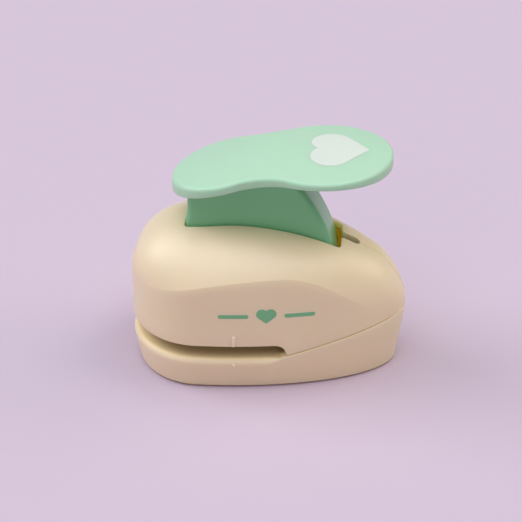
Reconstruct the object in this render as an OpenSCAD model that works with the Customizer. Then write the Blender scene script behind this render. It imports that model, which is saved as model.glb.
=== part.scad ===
// Lever craft punch: an egg-shaped housing, a mint lever that pivots at the front, and a heart punch
// that a roller on the lever drives down through a guide and a die.
// The frame stands on its base: origin at the centre of the underside, +X to the rear, +Z up.

/* [Body] */
// Length of the body along X
body_len = 78; // [77:0.5:79]
// Greatest width of the body along Y
body_w = 45.1; // [44.5:0.1:46]
// Distance from the front end to the widest place
nose_len = 20.2; // [19.5:0.1:21]
// Wall thickness of the top cover
cover_wall = 2; // [1.8:0.1:2.2]
// Height of the cover's lower edge along the paper gap
cover_edge_z = 14.4; // [14.2:0.1:14.6]
// Radius of the round rear end of the paper gap
gap_round = 3.6; // [3.4:0.1:3.8]
// Width of the dark joint line between cover and base
joint_gap = 0.15; // [0.1:0.05:0.2]

/* [Base] */
// Height of the paper table, which is also the top of the die
table_z = 10.2; // [10:0.1:10.4]
// Height where the rounded lip of the base starts
lip_z = 8.66; // [8.4:0.02:8.8]
// How far the lip leans in at the top
lip_in = 1.6; // [1.4:0.1:1.8]
// How far the wall leans in at the bottom
draft_in = 1.4; // [1.2:0.1:1.6]
// Thickness of the bottom plate
plate_t = 2; // [1.8:0.1:2.2]

/* [Lever] */
// Place of the pivot axle along X
pivot_x = -28; // [-28.5:0.1:-27.5]
// Height of the pivot axle
pivot_z = 25; // [24.5:0.1:25.5]
// Radius of the pivot axle
axle_r = 2; // [1.9:0.05:2.1]
// Half thickness of the lever's web
web_half = 6.5; // [6.3:0.1:6.6]
// Wall thickness of the lever's web
web_wall = 2.2; // [2:0.1:2.3]
// Radius of the web's rear face about the pivot
web_r = 48.3; // [48.1:0.1:48.4]
// Height of the highest point of the handle plate
handle_z = 66.25; // [66:0.05:66.5]
// Lengthwise radius of the handle plate's top
handle_r = 120; // [118:0.5:122]
// Sideways radius of the handle plate's top
crown_r = 94; // [90:1:98]
// Thickness of the handle plate at its middle
handle_t = 4; // [3.8:0.1:4.2]

/* [Punch] */
// Place of the punch and die along X
die_x = -8.2; // [-8.4:0.1:-8]
// Height of the gap that the paper goes into
throat = 1.8; // [1.7:0.1:1.9]
// Length of the punched heart
heart_len = 16; // [15.8:0.1:16.2]
// Radius of the press roller
roller_r = 3.2; // [3.1:0.05:3.3]
// Wire thickness of the return spring
wire_d = 1; // [0.9:0.05:1.1]
// Number of turns in the return spring
spring_turns = 3; // [2.5:0.25:3]

/* [Hidden] */
$fn = 64;

// Colours of the pieces
cream = [0.93, 0.87, 0.77];
mint = [0.62, 0.85, 0.72];
print_white = [0.93, 0.95, 0.91];
zinc = [0.66, 0.67, 0.69];
steel = [0.78, 0.79, 0.81];
dark_steel = [0.45, 0.46, 0.48];

// Body outline: two half ellipses that meet at the widest place
mid_x = nose_len - body_len / 2;
tail_len = body_len - nose_len;
half_w = body_w / 2;
columns = 80;

// Heights of the body above the base, as [x, height, slope] knots
crest_front_z = 44.4;
nose_z = 26.6;
tail_z = 18.4;
tail_x = 30;
crease_knots = [[-39, 29.6, 0], [-22, 32.3, 0.22], [5, 35.9, 0], [15, 33.3, -0.5], [25, 26.4, -0.7],
    [39, 18.6, -0.35]];
// How much of the dome's roundness is cut off at its edge, which leaves the soft shoulder line
shoulder_cut = 0.16;
crest_knots = [[mid_x, crest_front_z, 0.08], [-8, 45.2, 0], [3, 44.1, -0.17], [20, 39.5, -0.37],
               [30, 34.4, -0.6], [39, 29.4, -0.5]];

// Joint line between the cover and the base, behind the paper gap
corner_x = 6.6;
corner_z = 10.8;

// Lever slot in the cover, and the narrow slit behind it
slot_front = -23;
slot_rear = 20.3;
slot_half = 6.85;
slit_rear = 25.4;
slit_half = 1.6;

// Lever: where the handle's top is highest, the web's front face, and the gap under the handle plate
apex_x = 19.3;
web_front = -22.6;
seat_gap = 0.25;

// Heights of the mechanism
guide_z = table_z + throat;
guide_t = 3.5;
seat_z = guide_z + guide_t;
tower_z = 19.5;
head_z = 27.5;
head_t = 2.5;
head_r = 13.4;
roller_gap = 0.12;
roller_z = head_z + head_t + roller_gap + roller_r;
punch_face_z = 13.2;
die_flange_z = 5.2;
die_flange_t = 3;
die_land_z = die_flange_z + die_flange_t;
relief_r = 10.8;
die_front = -26;
die_rear = 23;
die_in = 8.2;
flange_in = 6;
guide_in = 5;
fit_gap = 0.2;
spring_r = 12.3;
run_gap = 0.05;
ear_in = 6.8;
ear_t = 3;
ear_out = ear_in + ear_t;
pin_r = 1.5;
clip_t = 0.5;
tower_r = 11.3;
ear_r = 4.4;
ear_front = -32.4;

// Walls, bosses and holes of the housing
floor_in = 3.5;
wall_in = 3.4;
rear_in = 2.4;
slot_round = 1.2;
slot_floor = 30;
tick_w = 0.6;
tick_h = 3.5;
cover_boss_r = 2.6;
base_boss_r = 2.4;
housing_boss_r = 2.8;
boss_top = 44;
chip_window = 20;
rest_post_at = [[-21.5, 8], [7, 8]];
print_t = 0.25;
heart_mid_x = 19.3;

// Radii of the screws: shank, head, and the threaded and clearance holes
thin_shank_r = 1.09;
thin_hole_r = 1.1;
thin_clear_r = 1.25;
thick_shank_r = 1.29;
thick_hole_r = 1.3;
thick_clear_r = 1.4;
foot_head_r = 2.3;
foot_recess_r = 2.5;
foot_head_z = 1.2;
frame_head_r = 2.4;
frame_recess_r = 2.6;
guide_head_r = 2.1;
guide_recess_r = 2.3;
frame_hole_r = 1.5;
dowel_r = 1.49;

// Places of the fasteners
cover_screw_at = [-24, 13];
base_screw_at = [-30, 6];
housing_screw_at = [29, 6];
frame_screw_at = [12, 8];
dowel_at = [18, 6];
punch_screw_x = die_x - 3;
punch_screw_y = 6;
handle_screw_x = [-14, 0];

// ---------- shape functions ----------

// Smooth height through [x, height, slope] knots
function knot_index(x, k, i = 0) = (i >= len(k) - 2 || x < k[i + 1][0]) ? i : knot_index(x, k, i + 1);
function between(t, a, b, h) =
    a[1] * (2 * t * t * t - 3 * t * t + 1) + a[2] * h * (t * t * t - 2 * t * t + t)
    + b[1] * (3 * t * t - 2 * t * t * t) + b[2] * h * (t * t * t - t * t);
function along(x, k) = let (u = max(k[0][0], min(k[len(k) - 1][0], x)), i = knot_index(u, k),
    h = k[i + 1][0] - k[i][0]) between((u - k[i][0]) / h, k[i], k[i + 1], h);

// A smooth step from 0 to 1 between a and b
function ease(x, a, b) = let (t = max(0, min(1, (x - a) / (b - a)))) t * t * (3 - 2 * t);

// A quarter of a rounded curve: 1 at u = 0, and 0 at u = 1
function quarter(u, p) = pow(max(0, 1 - pow(min(1, max(0, u)), p)), 1 / p);

// Half width of the body outline at x, pulled in by d
function half_width(x, d = 0) =
    let (a = (x < mid_x ? nose_len : tail_len) - d) (half_w - d) * quarter(abs(x - mid_x) / a, 2);

// Point of the body outline at an angle, pulled in by d
function rim_point(a, d = 0) =
    [mid_x + ((cos(a) < 0 ? nose_len : tail_len) - d) * cos(a), (half_w - d) * sin(a)];
function rim(d = 0) = [for (i = [0:columns - 1]) rim_point(360 * i / columns, d)];

// Height of the ridge of the body, and of the whole dome, pulled in by d
function crest(x, d = 0) =
    x < mid_x ? nose_z + (crest_front_z - d - nose_z) * quarter((mid_x - x) / (nose_len - d), 2.2)
    : x > tail_x ? tail_z + (along(x, crest_knots) - d - tail_z)
        * quarter((x - tail_x) / (body_len / 2 - tail_x - d), 2)
    : along(x, crest_knots) - d;
function crease(x, d = 0) = along(x, crease_knots) - d / 2;
function dome(p, d = 0) =
    let (c = crease(p[0], d), q = 2.4 + 0.3 * ease(p[0], -10, 20),
        k = 1 - shoulder_cut * ease(p[0], -36, -20) * (1 - ease(p[0], 14, 32)),
        s = min(1, abs(p[1]) / max(0.01, half_width(p[0], d))))
    c + max(0.1, crest(p[0], d) - c) * (quarter(s * k, q) - quarter(k, q)) / (1 - quarter(k, q));

// Height of the joint line behind the paper gap
function joint_z(x) = let (u = x - corner_x) corner_z + 0.27 * u - 0.0012 * u * u;

// Plan position between the ridge line and the outline, for one column at an angle
function fan_point(a, s, d) =
    let (o = rim_point(a, d), r = mid_x + max(0, cos(a)) * (tail_x - mid_x)) [r + (o[0] - r) * s, o[1] * s];

// ---------- shared solids ----------

// Closed solid from stacked rings of equal length, the last one closed across the middle
module ring_stack(rings) {
    n = len(rings[0]);
    top = (len(rings) - 1) * n;
    sides = [for (r = [0:len(rings) - 2], i = [0:n - 1], f = [0, 1])
        let (a = r * n + i, b = r * n + (i + 1) % n) f == 0 ? [a, b + n, b] : [a, a + n, b + n]];
    lid = [for (i = [0:n / 2 - 1], f = [0, 1])
        let (a = top + i, b = top + i + 1, c = top + (n - i) % n, e = top + n - i - 1)
        if (f == 0 ? i < n / 2 - 1 : i > 0) f == 0 ? [a, e, b] : [a, c, e]];
    polyhedron([for (r = rings, p = r) p], concat([[for (i = [0:n - 1]) i]], sides, lid));
}

// Dome-topped solid of the body, pulled in by d, standing on the height z
module body_solid(d, z) {
    angles = [for (i = [0:columns - 1]) 360 * i / columns];
    steps = [0.985, 0.94, 0.86, 0.74, 0.58, 0.38, 0.12];
    wall = [for (a = angles) let (o = rim_point(a, d)) [o[0], o[1], z]];
    shoulder = [for (a = angles) let (o = rim_point(a, d)) [o[0], o[1], crease(o[0], d)]];
    tops = [for (s = steps) [for (a = angles) let (p = fan_point(a, s, d)) [p[0], p[1], dome(p, d)]]];
    ring_stack(concat([wall, shoulder], tops));
}

// Upright prism of the body outline pulled in by d
module outline_prism(d, z0, z1) {
    translate([0, 0, z0]) linear_extrude(z1 - z0) polygon(rim(d));
}

// Plate of the body outline pulled in by d, kept between x0 and x1
module outline_plate(d, z0, z1, x0, x1) {
    intersection() {
        outline_prism(d, z0, z1);
        translate([x0, -50, z0 - 1]) cube([x1 - x0, 100, z1 - z0 + 2]);
    }
}

// A side-view shape in X and Z, thick from y0 to y1
module side_plate(y0, y1) {
    translate([0, y1, 0]) rotate([90, 0, 0]) linear_extrude(y1 - y0) children();
}

// Upright cylinder between two heights
module post(x, y, r, z0, z1) {
    translate([x, y, z0]) cylinder(r = r, h = z1 - z0);
}

// Cylinder along Y between two places
module cross_bar(x, z, r, y0, y1) {
    translate([x, y0, z]) rotate([-90, 0, 0]) cylinder(r = r, h = y1 - y0);
}

// The same thing on the near and the far side
module both_sides() {
    children();
    mirror([0, 1, 0]) children();
}

// Screw with a round head below and a shank above
module screw_up(at, head_r, head_z0, head_z1, shank_r, top) {
    difference() {
        union() {
            post(at[0], at[1], head_r, head_z0, head_z1);
            post(at[0], at[1], shank_r, head_z1, top);
        }
        translate([at[0] - 0.3, at[1] - head_r * 0.7, head_z0 - 1]) cube([0.6, head_r * 1.4, 1.5]);
        translate([at[0] - head_r * 0.7, at[1] - 0.3, head_z0 - 1]) cube([head_r * 1.4, 0.6, 1.5]);
    }
}

// Rounded rectangle about a centre
module soft_rect(cx, cy, lx, ly, r) {
    translate([cx, cy]) union() {
        square([lx - 2 * r, ly], center = true);
        square([lx, ly - 2 * r], center = true);
        for (sx = [-1, 1], sy = [-1, 1]) translate([sx * (lx / 2 - r), sy * (ly / 2 - r)]) circle(r = r);
    }
}

// Heart with its notch to the front and its tip to the rear, grown by d; its two lobes are true arcs
lobe_r = 5.5 * heart_len / 16;
lobe_x = -2.5 * heart_len / 16;
lobe_y = 4.15 * heart_len / 16;
module heart(d) {
    reach = heart_len / 2 - lobe_x;
    far = sqrt(reach * reach + lobe_y * lobe_y);
    lean = asin(lobe_r / far) + atan2(lobe_y, reach);
    tip = heart_len / 2 + d / sin(lean);
    touch = [lobe_x, lobe_y] + 0.97 * (lobe_r + d) * [sin(lean), cos(lean)];
    for (s = [-1, 1]) translate([lobe_x, s * lobe_y]) circle(r = lobe_r + d);
    polygon([[tip, 0], touch, [lobe_x, lobe_y], [lobe_x, -lobe_y], [touch[0], -touch[1]]]);
}

// ---------- housing ----------

// Side view of what lies under the cover: the paper gap and the base
module under_cover_side() {
    line = [for (x = [corner_x:4:62.6]) [x, joint_z(x) + joint_gap]];
    bend = [for (a = [90:-10:10]) [corner_x - gap_round + gap_round * cos(a),
        corner_z + joint_gap + (cover_edge_z - corner_z - joint_gap) * sin(a)]];
    polygon(concat([[-60, -5], [-60, cover_edge_z]], bend, line, [[62.6, -5]]));
}

module cover_bosses() {
    both_sides() {
        post(cover_screw_at[0], cover_screw_at[1], cover_boss_r, seat_z, boss_top);
        post(housing_screw_at[0], housing_screw_at[1], housing_boss_r, table_z, boss_top);
    }
}

module top_cover() {
    slot_cut = body_len;
    color(cream) difference() {
        union() {
            difference() {
                body_solid(0, 8);
                body_solid(cover_wall, 7);
                side_plate(-60, 60) under_cover_side();
            }
            intersection() {
                body_solid(cover_wall / 2, 8);
                cover_bosses();
            }
            both_sides() translate([die_x - tick_w / 2, half_w - 1.2, cover_edge_z + 0.2])
                cube([tick_w, 1.05, tick_h]);
        }
        translate([0, 0, slot_floor]) linear_extrude(slot_cut)
            soft_rect((slot_front + slot_rear) / 2, 0, slot_rear - slot_front, 2 * slot_half, slot_round);
        translate([slot_rear - 1, -slit_half, slot_floor])
            cube([slit_rear - slot_rear + 1 - slit_half, 2 * slit_half, slot_cut]);
        post(slit_rear - slit_half, 0, slit_half, slot_floor, slot_floor + slot_cut);
        both_sides() {
            post(cover_screw_at[0], cover_screw_at[1], thin_hole_r, seat_z - 1, seat_z + 9);
            post(housing_screw_at[0], housing_screw_at[1], thick_hole_r, table_z - 1, table_z + 11);
        }
    }
}

// Height of the base's outer edge and of its top, and the lean of its foot and of its lip
edge_drop = 0.15;
rear_draft = 0.9;
function edge_z(x) =
    x < corner_x ? lip_z + (corner_z - edge_drop - lip_z) * ease(x, 1, corner_x) : joint_z(x) - edge_drop;
function top_z(x) = x < corner_x ? table_z + (corner_z - table_z) * ease(x, 4.6, corner_x) : joint_z(x);
function draft(a) = draft_in + rear_draft * pow(max(0, cos(a)), 2);
function lip(x) = lip_in - (lip_in - edge_drop) * ease(x, 1, corner_x);

module base_shell() {
    angles = [for (i = [0:columns - 1]) 360 * i / columns];
    foot = [for (a = angles) let (o = rim_point(a, draft(a))) [o[0], o[1], 0]];
    edge = [for (a = angles) let (o = rim_point(a)) [o[0], o[1], edge_z(o[0])]];
    brim = [for (a = angles) let (x = rim_point(a)[0], o = rim_point(a, lip(x))) [o[0], o[1], top_z(x)]];
    deck_z = die_land_z;
    color(cream) difference() {
        union() {
            difference() {
                ring_stack([foot, edge, brim]);
                outline_prism(wall_in, -1, deck_z);
                outline_plate(rear_in, table_z, 30, corner_x + 1.4, body_len);
            }
            both_sides() {
                post(base_screw_at[0], base_screw_at[1], base_boss_r, plate_t, deck_z + 1);
                post(housing_screw_at[0], housing_screw_at[1], housing_boss_r, plate_t, deck_z + 1);
            }
        }
        outline_plate(die_in - fit_gap, 0, 40, die_front - fit_gap, die_rear + fit_gap);
        both_sides() {
            post(base_screw_at[0], base_screw_at[1], thin_hole_r, plate_t - 1, deck_z - 0.5);
            post(housing_screw_at[0], housing_screw_at[1], thick_clear_r, plate_t - 1, table_z + 1);
        }
    }
}

module bottom_plate() {
    color(cream) difference() {
        union() {
            outline_prism(floor_in, 0, plate_t);
            both_sides() for (at = rest_post_at) post(at[0], at[1], 2, plate_t - 0.5, die_flange_z);
        }
        translate([0, 0, -1]) linear_extrude(plate_t + 2) soft_rect(die_x, 0, chip_window, chip_window, 3);
        both_sides() {
            post(base_screw_at[0], base_screw_at[1], foot_recess_r, -1, foot_head_z);
            post(base_screw_at[0], base_screw_at[1], thin_clear_r, -1, plate_t + 1);
            post(housing_screw_at[0], housing_screw_at[1], foot_recess_r, -1, foot_head_z);
            post(housing_screw_at[0], housing_screw_at[1], thick_clear_r, -1, plate_t + 1);
        }
    }
}

// ---------- die frame ----------

// Screw holes and dowel holes of the frame
module frame_holes(r_screw, z0, z1) {
    both_sides() {
        post(frame_screw_at[0], frame_screw_at[1], r_screw, z0, z1);
        post(dowel_at[0], dowel_at[1], frame_hole_r, z0, z1);
    }
}

module die_block() {
    color(zinc) difference() {
        union() {
            outline_plate(die_in, die_land_z - 1, table_z, die_front, die_rear);
            outline_plate(flange_in, die_flange_z, die_land_z, die_front - 1.4, die_rear);
        }
        translate([die_x, 0, 0]) linear_extrude(20) heart(run_gap);
        post(die_x, 0, relief_r, 0, die_land_z);
        frame_holes(frame_hole_r, 0, 20);
        both_sides() post(frame_screw_at[0], frame_screw_at[1], frame_recess_r, 0, die_flange_z + 1.8);
    }
}

module gap_spacer() {
    color(steel) difference() {
        outline_plate(die_in + fit_gap, table_z, guide_z, 8, die_rear);
        frame_holes(frame_hole_r, 0, 20);
    }
}

// Side view of the ears that hold the lever's axle
module ear_side() {
    polygon([[ear_front, seat_z - 1], [pivot_x - ear_r * 0.9, pivot_z], [pivot_x + ear_r * 0.9, pivot_z],
             [pivot_x + 4.8, seat_z - 1]]);
    translate([pivot_x, pivot_z]) circle(r = ear_r);
}

module guide_block() {
    color(zinc) difference() {
        union() {
            outline_plate(guide_in, guide_z, seat_z, -60, die_rear);
            post(die_x, 0, tower_r, seat_z - 1, tower_z);
            both_sides() side_plate(ear_in, ear_out) ear_side();
            translate([ear_front - 1.3, -ear_out, seat_z - 1]) cube([1.8, 2 * ear_out, 5]);
        }
        translate([die_x, 0, 0]) linear_extrude(40) heart(run_gap);
        cross_bar(pivot_x, pivot_z, axle_r + 0.02, -20, 20);
        frame_holes(thin_clear_r, 0, seat_z - 0.5);
        both_sides() {
            post(cover_screw_at[0], cover_screw_at[1], thin_clear_r, 0, 20);
            post(cover_screw_at[0], cover_screw_at[1], guide_recess_r, 0, guide_z + 1.5);
        }
    }
}

module dowel_pins() {
    color(steel) both_sides() post(dowel_at[0], dowel_at[1], dowel_r, die_flange_z + 0.3, seat_z - 0.7);
}

module frame_screws() {
    head_low = die_flange_z + 0.2;
    color(dark_steel) both_sides()
        screw_up(frame_screw_at, frame_head_r, head_low, head_low + 1.6, thin_shank_r, seat_z - 0.7);
}

module cover_screws() {
    color(dark_steel) both_sides()
        screw_up(cover_screw_at, guide_head_r, guide_z + 0.1, guide_z + 1.5, thin_shank_r, seat_z + 8);
}

module base_screws() {
    color(dark_steel) both_sides()
        screw_up(base_screw_at, foot_head_r, 0.2, foot_head_z, thin_shank_r, die_land_z - 1);
}

module housing_screws() {
    color(dark_steel) both_sides()
        screw_up(housing_screw_at, foot_head_r, 0.2, foot_head_z, thick_shank_r, table_z + 10);
}

// ---------- lever ----------

module lever_axle() {
    end_y = ear_out + 1.4;
    groove_y = ear_out + 0.03;
    color(steel) difference() {
        cross_bar(pivot_x, pivot_z, axle_r, -end_y, end_y);
        both_sides() difference() {
            cross_bar(pivot_x, pivot_z, axle_r + 1, groove_y, groove_y + clip_t + 0.04);
            cross_bar(pivot_x, pivot_z, axle_r - 0.4, groove_y - 1, groove_y + clip_t + 1);
        }
    }
}

module axle_clips() {
    color(dark_steel) both_sides() difference() {
        cross_bar(pivot_x, pivot_z, 3.6, ear_out + 0.05, ear_out + 0.05 + clip_t);
        cross_bar(pivot_x, pivot_z, axle_r - 0.39, ear_out - 1, ear_out + 2);
        translate([pivot_x - 1.2, ear_out - 1, pivot_z - 5]) cube([2.4, 3, 5]);
    }
}

// Disc that the top of the web follows under the handle plate, pulled in by d
module under_handle(d) {
    translate([apex_x, handle_z - handle_r]) circle(r = handle_r - handle_t - seat_gap - d, $fn = 180);
}

// Side view of the lever's web, pulled in by d
module web_side(d) {
    intersection() {
        translate([web_front + d, 20]) square([50, 50]);
        translate([pivot_x, pivot_z]) circle(r = web_r - d, $fn = 180);
        under_handle(d);
        polygon([[-30, 31.4], [-9, 31.4], [4.5, 36.4], [24, 34.4], [40, 80], [-30, 80]]);
    }
}

module lever_arm() {
    rib_half = 0.9;
    color(mint) difference() {
        union() {
            side_plate(-web_half, web_half) {
                web_side(0);
                polygon([[-31.9, 27], [-29.6, 34.5], [-22.6, 41.5], [-20.4, 41.5], [-20.4, 31.4],
                         [-22.4, 31.4], [-24.2, 27]]);
                translate([pivot_x, pivot_z]) circle(r = 4.3);
                translate([die_x, roller_z]) circle(r = 2.8);
            }
            side_plate(-rib_half, rib_half) intersection() {
                under_handle(0);
                polygon([[4, 62], [8, 55], [16, 54], [20.4, 58.8], [20.4, 64]]);
            }
        }
        side_plate(web_wall - web_half, web_half - web_wall) {
            web_side(web_wall);
            translate([-20.4, 20]) square([36, 18]);
        }
        cross_bar(pivot_x, pivot_z, axle_r + run_gap, -20, 20);
        cross_bar(die_x, roller_z, pin_r + 0.01, -20, 20);
        for (x = handle_screw_x) post(x, 0, thin_clear_r, 45, 70);
    }
}

// Turns a cross section, given as [radius, sideways], lengthwise about the handle's long radius
module lengthwise() {
    translate([apex_x, 0, handle_z - handle_r]) rotate([90, 0, 0]) rotate([0, 0, 70])
        rotate_extrude(angle = 50, $fn = 180) intersection() {
            translate([60, -22]) square([70, 44]);
            children();
        }
}

// Cross section below a top that lies r from the long radius's middle and is crowned sideways
module crowned(r) {
    translate([r - crown_r, 0]) circle(r = crown_r, $fn = 180);
}

// Layer between two crowned tops
module crowned_band(r0, r1) {
    lengthwise() difference() {
        crowned(r1);
        crowned(r0);
    }
}

// Points on an arc about [cx, cy], both ends included
function arc_points(cx, cy, r, a0, a1, n) =
    [for (i = [0:n]) let (a = a0 + (a1 - a0) * i / n) [cx + r * cos(a), cy + r * sin(a)]];

// Plan of the handle plate: a front lobe and a rear lobe joined by a hollow waist on each side
module handle_plan() {
    front = [-11.8, 15.15];
    rear = [15.2, 18.6];
    waist = [-3.5, 37.5];
    waist_r = 23.3;
    front_a = atan2(waist[1], waist[0] - front[0]);
    rear_a = atan2(waist[1], waist[0] - rear[0]);
    half = concat(arc_points(front[0], 0, front[1], 180, front_a, 26),
                  arc_points(waist[0], waist[1], waist_r, front_a + 184, rear_a + 176, 9),
                  arc_points(rear[0], 0, rear[1], rear_a, 0, 30));
    polygon(concat(half, [for (i = [len(half) - 2:-1:1]) [half[i][0], -half[i][1]]]));
}

// Height of the lever's top wall, inside, at x
function web_roof(x) = handle_z - handle_r
    + sqrt(pow(handle_r - handle_t - seat_gap - web_wall, 2) - pow(x - apex_x, 2));

module handle_plate() {
    color(mint) difference() {
        intersection() {
            lengthwise() difference() {
                crowned(handle_r);
                translate([50, -30]) square([handle_r - handle_t - 50, 60]);
            }
            translate([0, 0, 40]) linear_extrude(30) handle_plan();
        }
        intersection() {
            crowned_band(handle_r - print_t, handle_r + 1);
            translate([heart_mid_x, 0, 55]) linear_extrude(20) heart(0.03);
        }
        for (x = handle_screw_x) post(x, 0, thin_hole_r, 50, web_roof(x) + 5.2);
    }
}

module heart_print() {
    color(print_white) intersection() {
        crowned_band(handle_r - print_t, handle_r);
        translate([heart_mid_x, 0, 55]) linear_extrude(20) heart(0);
    }
}

module handle_screws() {
    color(dark_steel) for (x = handle_screw_x) let (z = web_roof(x) - 0.75)
        screw_up([x, 0], guide_head_r, z - 1.4, z, thin_shank_r, z + 5.5);
}

module press_pin() {
    color(steel) cross_bar(die_x, roller_z, pin_r, -web_half + 0.1, web_half - 0.1);
}

module press_roller() {
    color(steel) difference() {
        cross_bar(die_x, roller_z, roller_r, -4, 4);
        cross_bar(die_x, roller_z, pin_r + run_gap, -5, 5);
    }
}

// ---------- punch ----------

module punch_head() {
    color(zinc) difference() {
        post(die_x, 0, head_r, head_z, head_z + head_t);
        both_sides() {
            post(punch_screw_x, punch_screw_y, thin_hole_r, 0, 40);
            post(punch_screw_x, punch_screw_y, guide_head_r, head_z + 1, 40);
        }
    }
}

module heart_punch() {
    color(steel) difference() {
        translate([die_x, 0, punch_face_z]) linear_extrude(head_z - punch_face_z) heart(0);
        both_sides() post(punch_screw_x, punch_screw_y, thin_hole_r, head_z - 5, head_z + 1);
    }
}

module punch_screws() {
    color(dark_steel) both_sides() difference() {
        union() {
            post(punch_screw_x, punch_screw_y, guide_head_r - 0.1, head_z + 1, head_z + head_t - 0.1);
            post(punch_screw_x, punch_screw_y, thin_shank_r, head_z - 4.5, head_z + 1);
        }
        translate([punch_screw_x - 0.3, punch_screw_y - 1.4, head_z + head_t - 0.8]) cube([0.6, 2.8, 2]);
    }
}

// Wire of the return spring: one tube that functions sweep along the helix
module return_spring() {
    wire_sides = 8;
    per_turn = 24;
    n = round(spring_turns * per_turn);
    z0 = seat_z + wire_d / 2;
    z1 = head_z - wire_d / 2;
    points = [for (k = [0:n], s = [0:wire_sides - 1])
        let (a = 360 * k / per_turn, b = 360 * s / wire_sides, r = spring_r + wire_d / 2 * cos(b))
        [r * cos(a), r * sin(a), z0 + (z1 - z0) * k / n + wire_d / 2 * sin(b)]];
    sides = [for (k = [0:n - 1], s = [0:wire_sides - 1], f = [0, 1])
        let (a = k * wire_sides + s, b = k * wire_sides + (s + 1) % wire_sides)
        f == 0 ? [a, b, b + wire_sides] : [a, b + wire_sides, a + wire_sides]];
    ends = [[for (s = [wire_sides - 1:-1:0]) s], [for (s = [0:wire_sides - 1]) n * wire_sides + s]];
    color(steel) translate([die_x, 0, 0]) polyhedron(points, concat(sides, ends));
}

base_shell();
bottom_plate();
top_cover();
die_block();
gap_spacer();
guide_block();
dowel_pins();
frame_screws();
cover_screws();
base_screws();
housing_screws();
lever_axle();
axle_clips();
return_spring();
lever_arm();
handle_plate();
heart_print();
handle_screws();
press_pin();
press_roller();
punch_head();
heart_punch();
punch_screws();
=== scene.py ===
"""Looks of a lever craft punch: smooth housing and lever skins, print, finishes, floor, light and camera.

Lengths in the shape functions are in millimetres and become metres when a mesh is made.
"""

import math

import bmesh
import bpy
import numpy as np
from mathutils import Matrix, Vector


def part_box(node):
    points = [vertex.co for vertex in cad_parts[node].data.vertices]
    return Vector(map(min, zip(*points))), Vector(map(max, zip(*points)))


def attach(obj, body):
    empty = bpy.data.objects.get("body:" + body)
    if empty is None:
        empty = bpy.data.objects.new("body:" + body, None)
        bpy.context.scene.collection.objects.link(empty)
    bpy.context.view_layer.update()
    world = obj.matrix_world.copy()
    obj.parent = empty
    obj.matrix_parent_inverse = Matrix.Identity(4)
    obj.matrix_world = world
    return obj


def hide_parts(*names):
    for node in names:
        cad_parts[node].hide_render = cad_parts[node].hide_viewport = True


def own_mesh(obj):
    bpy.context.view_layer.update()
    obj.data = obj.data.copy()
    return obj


MM = 0.001
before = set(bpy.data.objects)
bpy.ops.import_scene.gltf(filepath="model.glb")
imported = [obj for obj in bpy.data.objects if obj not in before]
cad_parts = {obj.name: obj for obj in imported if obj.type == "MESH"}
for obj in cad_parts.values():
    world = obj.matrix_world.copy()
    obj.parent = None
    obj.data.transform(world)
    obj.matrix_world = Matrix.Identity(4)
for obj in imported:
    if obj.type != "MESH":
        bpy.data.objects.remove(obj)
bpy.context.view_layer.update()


def box_mm(node):
    """Corners of a CAD node's box in millimetres."""
    lo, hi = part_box(node)
    return np.array(lo) / MM, np.array(hi) / MM


# Places taken from the CAD frame
cover_lo, cover_hi = box_mm("top_cover")
axle_lo, axle_hi = box_mm("lever_axle")
head_lo, head_hi = box_mm("punch_head")
spring_lo, spring_hi = box_mm("return_spring")
pin_lo, pin_hi = box_mm("press_pin")

HALF_LEN = (cover_hi[0] - cover_lo[0]) / 2
HALF_W = cover_hi[1]
PIVOT = ((axle_lo + axle_hi) / 2)[[0, 2]]
DIE_X = (head_lo[0] + head_hi[0]) / 2
HANDLE_Z = box_mm("handle_plate")[1][2]
PIN_Z = (pin_lo[2] + pin_hi[2]) / 2

# ---------- body shape ----------

# The outline is two half ellipses that meet at MID_X; the ridge ends lower at the nose and the tail
NOSE_LEN = 20.2
MID_X = NOSE_LEN - HALF_LEN
TAIL_LEN = 2 * HALF_LEN - NOSE_LEN
NOSE_Z, NOSE_POWER = 26.6, 2.2
TAIL_Z, TAIL_X = 18.4, 30.0
# Heights of the soft shoulder line and of the ridge, as (x, height, slope) knots
CREASE = [(-39, 29.6, 0), (-22, 32.3, 0.22), (5, 35.9, 0), (15, 33.3, -0.5), (25, 26.4, -0.7),
          (39, 18.6, -0.35)]
CREST_Z = 44.4
CREST = [(MID_X, CREST_Z, 0.08), (-8, 45.2, 0), (3, 44.1, -0.17), (20, 39.5, -0.37), (30, 34.4, -0.6),
         (39, 29.4, -0.5)]
# How much of the dome's roundness is cut off at its edge, and how square the dome is across
SHOULDER = 0.16
DOME_POWER, REAR_POWER = 2.4, 0.3
COVER_WALL = 2.0
COVER_EDGE_Z = 14.4
# The paper gap ends in a pointed corner at CORNER (x, z); the joint line rises behind it
CORNER = (6.6, 10.8)
GAP_ROUND = 3.6
JOINT_GAP = 0.15
JOINT_SLOPE, JOINT_BEND = 0.27, 0.0012
# The base: its table, the rounded lip round the table, and the lean of its walls
TABLE_Z, TABLE_END = 10.2, 4.6
LIP_Z, LIP_END = 8.66, 1.0
LIP_IN, REAR_LIP = 1.6, 0.3
DRAFT_IN, REAR_DRAFT = 1.4, 0.9
# The lever's slot and the slit behind it
SLOT_FRONT, SLOT_REAR, SLOT_HALF = -23.0, 20.3, 6.85
SLIT_REAR, SLIT_HALF = 25.4, 1.6
# Heights and places of the screw bosses, (x, y)
FRONT_BOSS, REAR_BOSS, BASE_BOSS = (-24, 13), (29, 6), (-30, 6)
SEAT_Z, PLATE_TOP = 15.5, 2.05


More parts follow.
